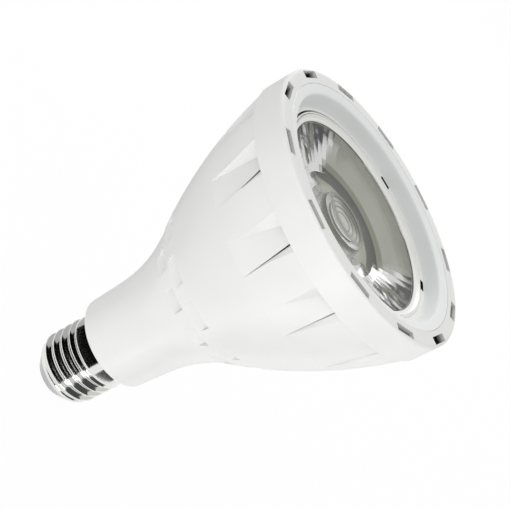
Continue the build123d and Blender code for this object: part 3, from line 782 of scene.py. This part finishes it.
@dataclass
class LensHolder:
    """The white retaining ring round the lens, with its fine grooves and snap windows, in millimetres."""

    lens_r: float = 32.35
    bore_gap: float = 0.3
    flange_r: float = 34.45
    flange_gap: float = 0.3
    flange_top: float = 125.5
    front: float = 126.4
    crease_r: float = 33.7
    crease: float = 126.75
    groove_width: float = 0.3
    groove_depth: float = 1.2
    land: float = 0.45
    gap_width: float = 0.65
    gap_depth: float = 1.9
    top_r: float = 38.55
    step: float = 125.6
    window_r: float = 35.65
    window_width: float = 1.7
    window_length: float = 4.6
    window_deg: tuple[float, ...] = WINDOW_DEG
    wide_deg: float = 20.0
    narrow_share: float = 0.2
    edge: float = 0.012
    window_end_deg: float = 0.02
    window_floor: float = 0.05
    hair: float = 0.001
    sharp_deg: float = 8.0
    around: int = 540
    rim_r: float = field(default_factory=lambda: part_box("lens_holder")[1].x / MM)
    seat: float = field(default_factory=lambda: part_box("lens_holder")[0].z / MM)
    top: float = field(default_factory=lambda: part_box("lens_holder")[1].z / MM)

    @property
    def window_sides(self) -> tuple[float, float]:
        """Inner and outer radius of the windows."""
        return self.window_r - self.window_width / 2.0, self.window_r + self.window_width / 2.0

    def profile(self, share: np.ndarray) -> tuple[np.ndarray, np.ndarray]:
        """Section of the ring: up its bore, out over slope, groove, land and gap, and back below.

        Args:
            share: for each column, how much of the gap's full width and depth it has.

        Returns:
            Radii and heights in millimetres, corners by columns, each corner of a groove a hair from
            the next.
        """
        bore = self.lens_r + self.bore_gap
        groove = self.flange_r + self.groove_width
        gap = groove + self.land
        far = gap + self.gap_width * share
        near, past = self.window_sides
        low, deep = self.top - self.groove_depth * share, self.top - self.gap_depth * share
        below = self.flange_r + self.flange_gap
        corners = [
            (bore, self.flange_top),
            (bore, self.front),
            (self.crease_r, self.crease),
            (self.flange_r, self.top),
            (self.flange_r + self.edge, low),
            (groove - self.edge, low),
            (groove, self.top),
            (near - self.edge, self.top),
            (near, self.top),
            (gap, self.top),
            (gap + self.edge, deep),
            (far - self.edge, deep),
            (far, self.top),
            (past, self.top),
            (past + self.edge, self.top),
            (self.top_r, self.top),
            (self.top_r, self.step),
            (self.rim_r, self.step),
            (self.rim_r, self.seat),
            (below, self.seat),
            (below, self.flange_top),
        ]
        radius = np.stack([np.broadcast_to(corner[0], share.shape) for corner in corners])
        return radius, np.stack([np.broadcast_to(corner[1], share.shape) for corner in corners])

    def angles(self) -> tuple[np.ndarray, np.ndarray]:
        """Angles of the columns, with a column on each side of each end of a window.

        Returns:
            Angles in degrees, and whether each lies inside a window.
        """
        half = math.degrees(self.window_length / 2.0 / self.window_r)
        ends = np.array([-half - self.window_end_deg, -half, half, half + self.window_end_deg])
        middles = np.concatenate([self.window_deg, np.add(self.window_deg, 180.0)])
        even = np.linspace(0.0, 360.0, self.around, endpoint=False)
        angle = np.unique(np.concatenate([even, ((middles[:, None] + ends[None]) % 360.0).ravel()]))
        off = np.abs((angle[:, None] - middles[None] + 180.0) % 360.0 - 180.0)
        return angle, (off <= half + self.hair).any(axis=1)

    def build(self) -> bpy.types.Object:
        """Makes the ring: its section carried round the axis, sunk to the seat inside the windows.

        The ring sits a little to one side, so its gap falls from full at one angle to a small share
        opposite, with the squared half cosine of the angle between.

        Returns:
            The ring, dressed and riding on the lamp.
        """
        angle, inside = self.angles()
        lean = 0.5 + 0.5 * np.cos(np.radians(angle - self.wide_deg))
        radius, height = self.profile(self.narrow_share + (1.0 - self.narrow_share) * lean**2)
        near, past = self.window_sides
        cut = (radius >= near) & (radius <= past) & (height > self.step - self.hair)
        heights = np.where(cut & inside[None], self.seat + self.window_floor, height)
        theta = np.radians(angle)[None]
        points = np.stack([radius * np.cos(theta), radius * np.sin(theta), heights], axis=-1) * MM
        ring = closed_grid("lens_holder_grooved", points[::-1])
        ring.data.set_sharp_from_angle(angle=math.radians(self.sharp_deg))
        ring.data.materials.append(HOLDER_PLASTIC.material())
        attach(ring, "root")
        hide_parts("lens_holder")
        return ring


@dataclass
class FrontBezel:
    """The front ring with its bevel and cone, its edges rounded by the mould, sizes in millimetres."""

    closing: float = 0.08
    bevel_r: float = 38.95
    bevel: float = 132.05
    foot_r: float = 36.75
    foot: float = 127.5
    wall: float = 1.7
    rim_round: float = 0.3
    bevel_round: float = 0.45
    fine_round: float = 0.05
    steps: int = 6
    sharp_deg: float = 30.0
    around: int = 360
    outer_r: float = field(default_factory=lambda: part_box("front_bezel")[1].x / MM)
    top: float = field(default_factory=lambda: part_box("front_bezel")[1].z / MM)
    seat: float = field(default_factory=lambda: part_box("front_bezel")[0].z / MM)

    def profile(self) -> np.ndarray:
        """Section of the ring, each corner a quadratic curve between points on its two edges.

        Returns:
            Radii and heights in millimetres.
        """
        outer = self.outer_r + self.closing
        inner = self.outer_r - self.wall
        corners = np.array(
            [
                (outer, self.top, self.rim_round),
                (self.bevel_r, self.bevel, self.bevel_round),
                (self.foot_r, self.foot, self.fine_round),
                (self.foot_r + self.wall, self.foot, self.fine_round),
                (inner, self.bevel - self.wall, self.fine_round),
                (inner, self.seat, self.fine_round),
                (outer, self.seat, self.fine_round),
            ]
        )
        place, reach = corners[:, None, :2], corners[:, None, 2:]
        before, after = np.roll(place, 1, axis=0) - place, np.roll(place, -1, axis=0) - place
        start = place + reach * before / np.linalg.norm(before, axis=-1, keepdims=True)
        end = place + reach * after / np.linalg.norm(after, axis=-1, keepdims=True)
        share = np.linspace(0.0, 1.0, self.steps)[None, :, None]
        curve = (1.0 - share) ** 2 * start + 2.0 * share * (1.0 - share) * place + share**2 * end
        return curve.reshape(-1, 2)

    def build(self) -> bpy.types.Object:
        """Makes the ring: its section carried round the axis.

        Returns:
            The ring, dressed and riding on the lamp.
        """
        section = self.profile()
        angle = np.linspace(0.0, 2.0 * math.pi, self.around, endpoint=False)
        radius = section[:, :1]
        height = np.repeat(section[:, 1:], self.around, axis=1)
        points = np.stack([radius * np.cos(angle), radius * np.sin(angle), height], axis=-1) * MM
        ring = closed_grid("front_bezel_rounded", points)
        ring.data.set_sharp_from_angle(angle=math.radians(self.sharp_deg))
        ring.data.materials.append(BEZEL_PLASTIC.material())
        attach(ring, "root")
        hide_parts("front_bezel")
        return ring


@dataclass
class LampBody:
    """The pieces that keep their packed form and get their finish here."""

    finishes: dict[str, Finish] = field(default_factory=lambda: dict(NODE_FINISHES))

    def dress(self) -> list[bpy.types.Object]:
        """Gives every kept node its material.

        Returns:
            The dressed nodes.
        """
        materials = {finish.name: finish.material() for finish in self.finishes.values()}
        dressed = []
        for name, finish in self.finishes.items():
            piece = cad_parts[name]
            piece.data.materials.clear()
            piece.data.materials.append(materials[finish.name])
            dressed.append(piece)
        return dressed


@dataclass
class PhotoCamera:
    """The camera that took the lamp's picture, in the lamp's own frame, its place in millimetres."""

    place: tuple[float, float, float] = (-47.4, 407.8, 279.4)
    azimuth_deg: float = CAMERA_AZIMUTH_DEG
    elevation_deg: float = 24.81
    roll_deg: float = 61.63
    lens_mm: float = 99.97
    sensor_mm: float = 36.0
    clip: tuple[float, float] = (0.01, 50.0)

    def axes(self) -> tuple[Vector, Vector, Vector]:
        """Works out the camera's own axes.

        Returns:
            Unit vectors to the right, up, and back towards the viewer.
        """
        back = direction(self.azimuth_deg, self.elevation_deg)
        level = direction(self.azimuth_deg + 90.0, 0.0)
        above = back.cross(level)
        roll = math.radians(self.roll_deg)
        right = level * math.cos(roll) + above * math.sin(roll)
        return right, back.cross(right), back

    def build(self) -> bpy.types.Object:
        """Makes the camera and gives it to the scene.

        Returns:
            The camera.
        """
        data = bpy.data.cameras.new("photo_camera")
        data.lens = self.lens_mm
        data.sensor_width = self.sensor_mm
        data.clip_start, data.clip_end = self.clip
        camera = bpy.data.objects.new("photo_camera", data)
        turned = Matrix([list(axis) for axis in self.axes()]).transposed()
        camera.matrix_world = Matrix.Translation(Vector(self.place) * MM) @ turned.to_4x4()
        bpy.context.scene.collection.objects.link(camera)
        bpy.context.scene.camera = camera
        return camera


@dataclass(frozen=True)
class SoftLamp:
    """A soft lamp that looks at the middle of the bulb.

    Args:
        name: name of the lamp.
        watts: its power.
        size: its width and height in metres.
        azimuth_deg: direction it stands in, about the axis.
        elevation_deg: height of that direction above level.
        distance: distance from the bulb's middle in metres.
    """

    name: str
    watts: float
    size: tuple[float, float]
    azimuth_deg: float
    elevation_deg: float
    distance: float = 0.9

    def build(self) -> bpy.types.Object:
        """Hangs the lamp.

        Returns:
            The lamp.
        """
        data = bpy.data.lights.new(self.name, "AREA")
        data.energy = self.watts
        data.shape = "RECTANGLE"
        data.size, data.size_y = self.size
        away = direction(self.azimuth_deg, self.elevation_deg)
        lamp = bpy.data.objects.new(self.name, data)
        lamp.location = Vector((0.0, 0.0, 0.5 * CAD_BOX[1].z)) + away * self.distance
        lamp.rotation_mode = "QUATERNION"
        lamp.rotation_quaternion = away.to_track_quat("Z", "Y")
        bpy.context.scene.collection.objects.link(lamp)
        return lamp


@dataclass(frozen=True)
class CurvedCard:
    """A card that stands round part of the lamp, seen only in mirrors.

    Args:
        name: name of the card.
        card: how much light it sends back.
        inner: how near to the axis it lies on the floor, in metres.
        start_deg: first edge, as an angle from the camera's azimuth.
        end_deg: last edge.
        outer: distance of its wall from the axis.
        top: height of its wall.
        bend: radius of the bend from floor to wall.
        lift: height of its lying part above the floor.
        bend_rows: rows of points in the bend.
        columns: columns of points round the axis.
    """

    name: str
    card: Card
    inner: float
    start_deg: float
    end_deg: float
    outer: float = 0.42
    top: float = 0.5
    bend: float = 0.1
    lift: float = 0.0005
    bend_rows: int = 9
    columns: int = 33

    def points(self) -> np.ndarray:
        """Profile carried round the axis: along the floor, up in a quarter round, straight to the top.

        Returns:
            Rows x columns x 3 places in metres.
        """
        turn = np.linspace(0.0, 0.5 * math.pi, self.bend_rows)
        curve_r = self.outer - self.bend + self.bend * np.sin(turn)
        radius = np.concatenate([[self.inner], curve_r, [self.outer]])[:, None]
        height = np.concatenate([[0.0], self.bend - self.bend * np.cos(turn), [self.top]]) + self.lift
        angle = np.radians(CAMERA_AZIMUTH_DEG + np.linspace(self.start_deg, self.end_deg, self.columns))
        heights = np.repeat(height[:, None], self.columns, axis=1)
        return np.stack([radius * np.cos(angle), radius * np.sin(angle), heights], axis=-1)

    def build(self) -> bpy.types.Object:
        """Stands the card up and hides it from everything but mirrors.

        Returns:
            The card.
        """
        points = self.points()
        index = np.arange(points.size // 3).reshape(points.shape[:2])
        faces = np.stack([index[:-1, :-1], index[:-1, 1:], index[1:, 1:], index[1:, :-1]], axis=-1)
        mesh = bpy.data.meshes.new(self.name)
        mesh.from_pydata(points.reshape(-1, 3), [], faces.reshape(-1, 4))
        made = bpy.data.objects.new(self.name, mesh)
        bpy.context.scene.collection.objects.link(made)
        made.visible_camera = False
        made.visible_diffuse = False
        made.visible_transmission = False
        made.visible_shadow = False
        paint = bpy.data.materials.new(self.name)
        paint.use_nodes = True
        tree = paint.node_tree
        tree.nodes.clear()
        glow = add_node(tree, "ShaderNodeEmission", {"Color": linear(self.card.value), "Strength": 1.0})
        add_node(tree, "ShaderNodeOutputMaterial", {"Surface": glow.outputs[0]})
        mesh.materials.append(paint)
        return made


@dataclass
class Studio:
    """White floor, soft sky, three soft lamps, and cards that only mirrors see, sizes in metres."""

    floor_half: float = 6.0
    floor_colour: str = "#f4f4f4"
    white: str = "#ffffff"
    white_share: float = 0.97
    sky_colour: str = "#f6f6f4"
    sky_strength: float = 0.78
    lamps: tuple[SoftLamp, ...] = (
        SoftLamp("key_lamp", 2.4, (0.6, 0.14), 120.0, 1.0),
        SoftLamp("top_lamp", 0.6, (0.6, 0.6), 55.0, 52.0),
        SoftLamp("back_lamp", 2.5, (0.3, 0.2), 308.0, 24.0),
    )
    cards: tuple[CurvedCard, ...] = (
        CurvedCard("pale_card", Card.PALE, 0.041, -176.0, -97.0),
        CurvedCard("black_card", Card.BLACK, 0.041, -97.0, 24.0),
        CurvedCard("grey_card", Card.GREY, 0.046, 47.0, 97.0),
    )

    def background_nodes(self, tree: bpy.types.NodeTree) -> bpy.types.NodeSocket:
        """Finds the rays that show the background: from the camera, off a mirror or through glass.

        Args:
            tree: nodes that get the test.

        Returns:
            A socket that is 1 for such rays.
        """
        rays = add_node(tree, "ShaderNodeLightPath")
        first = add_node(
            tree,
            "ShaderNodeMath",
            {0: rays.outputs["Is Camera Ray"], 1: rays.outputs["Is Glossy Ray"]},
            operation="MAXIMUM",
        )
        both = add_node(
            tree,
            "ShaderNodeMath",
            {0: first.outputs[0], 1: rays.outputs["Is Transmission Ray"]},
            operation="MAXIMUM",
        )
        return both.outputs[0]

    def build_floor(self) -> bpy.types.Object:
        """Lays the floor, which is white to the eye and still takes the lamp's shadow.

        Returns:
            The floor.
        """
        half = self.floor_half
        mesh = bpy.data.meshes.new("floor")
        corners = [(-half, -half, 0.0), (half, -half, 0.0), (half, half, 0.0), (-half, half, 0.0)]
        mesh.from_pydata(corners, [], [(0, 1, 2, 3)])
        floor = bpy.data.objects.new("floor", mesh)
        bpy.context.scene.collection.objects.link(floor)
        paper = bpy.data.materials.new("white_paper_roll")
        paper.use_nodes = True
        tree = paper.node_tree
        tree.nodes.clear()
        matt = add_node(tree, "ShaderNodeBsdfDiffuse", {"Color": linear(self.floor_colour)})
        white = add_node(tree, "ShaderNodeEmission", {"Color": linear(self.white), "Strength": 1.0})
        share = add_node(
            tree,
            "ShaderNodeMath",
            {0: self.background_nodes(tree), 1: self.white_share},
            operation="MULTIPLY",
        )
        mix = add_node(
            tree,
            "ShaderNodeMixShader",
            {0: share.outputs[0], 1: matt.outputs[0], 2: white.outputs[0]},
        )
        add_node(tree, "ShaderNodeOutputMaterial", {"Surface": mix.outputs[0]})
        mesh.materials.append(paper)
        return floor

    def build_sky(self) -> bpy.types.World:
        """Sets the even light of a white room, whose walls are plain white to the camera.

        Returns:
            The world.
        """
        world = bpy.data.worlds.new("white_room")
        world.use_nodes = True
        tree = world.node_tree
        tree.nodes.clear()
        sky = add_node(
            tree,
            "ShaderNodeBackground",
            {"Color": linear(self.sky_colour), "Strength": self.sky_strength},
        )
        white = add_node(tree, "ShaderNodeBackground", {"Color": linear(self.white), "Strength": 1.0})
        rays = add_node(tree, "ShaderNodeLightPath")
        mix = add_node(
            tree,
            "ShaderNodeMixShader",
            {0: rays.outputs["Is Camera Ray"], 1: sky.outputs[0], 2: white.outputs[0]},
        )
        add_node(tree, "ShaderNodeOutputWorld", {"Surface": mix.outputs[0]})
        bpy.context.scene.world = world
        return world

    def build(self) -> None:
        """Builds floor, sky, lamps and cards."""
        self.build_floor()
        self.build_sky()
        for piece in (*self.lamps, *self.cards):
            piece.build()


def main() -> None:
    """Builds the lamp's looks, the studio and the camera, in that order."""
    logging.basicConfig(level=logging.INFO)
    bpy.context.scene.view_settings.view_transform = "Standard"
    for piece in LampBody().dress():
        log.info("dressed %s", piece.name)
    log.info("built %s", ScrewCap().build().name)
    log.info("built %s", Optic().build().name)
    log.info("built %s", LensHolder().build().name)
    log.info("built %s", FrontBezel().build().name)
    Studio().build()
    PhotoCamera().build()


if __name__ == "__main__":
    main()
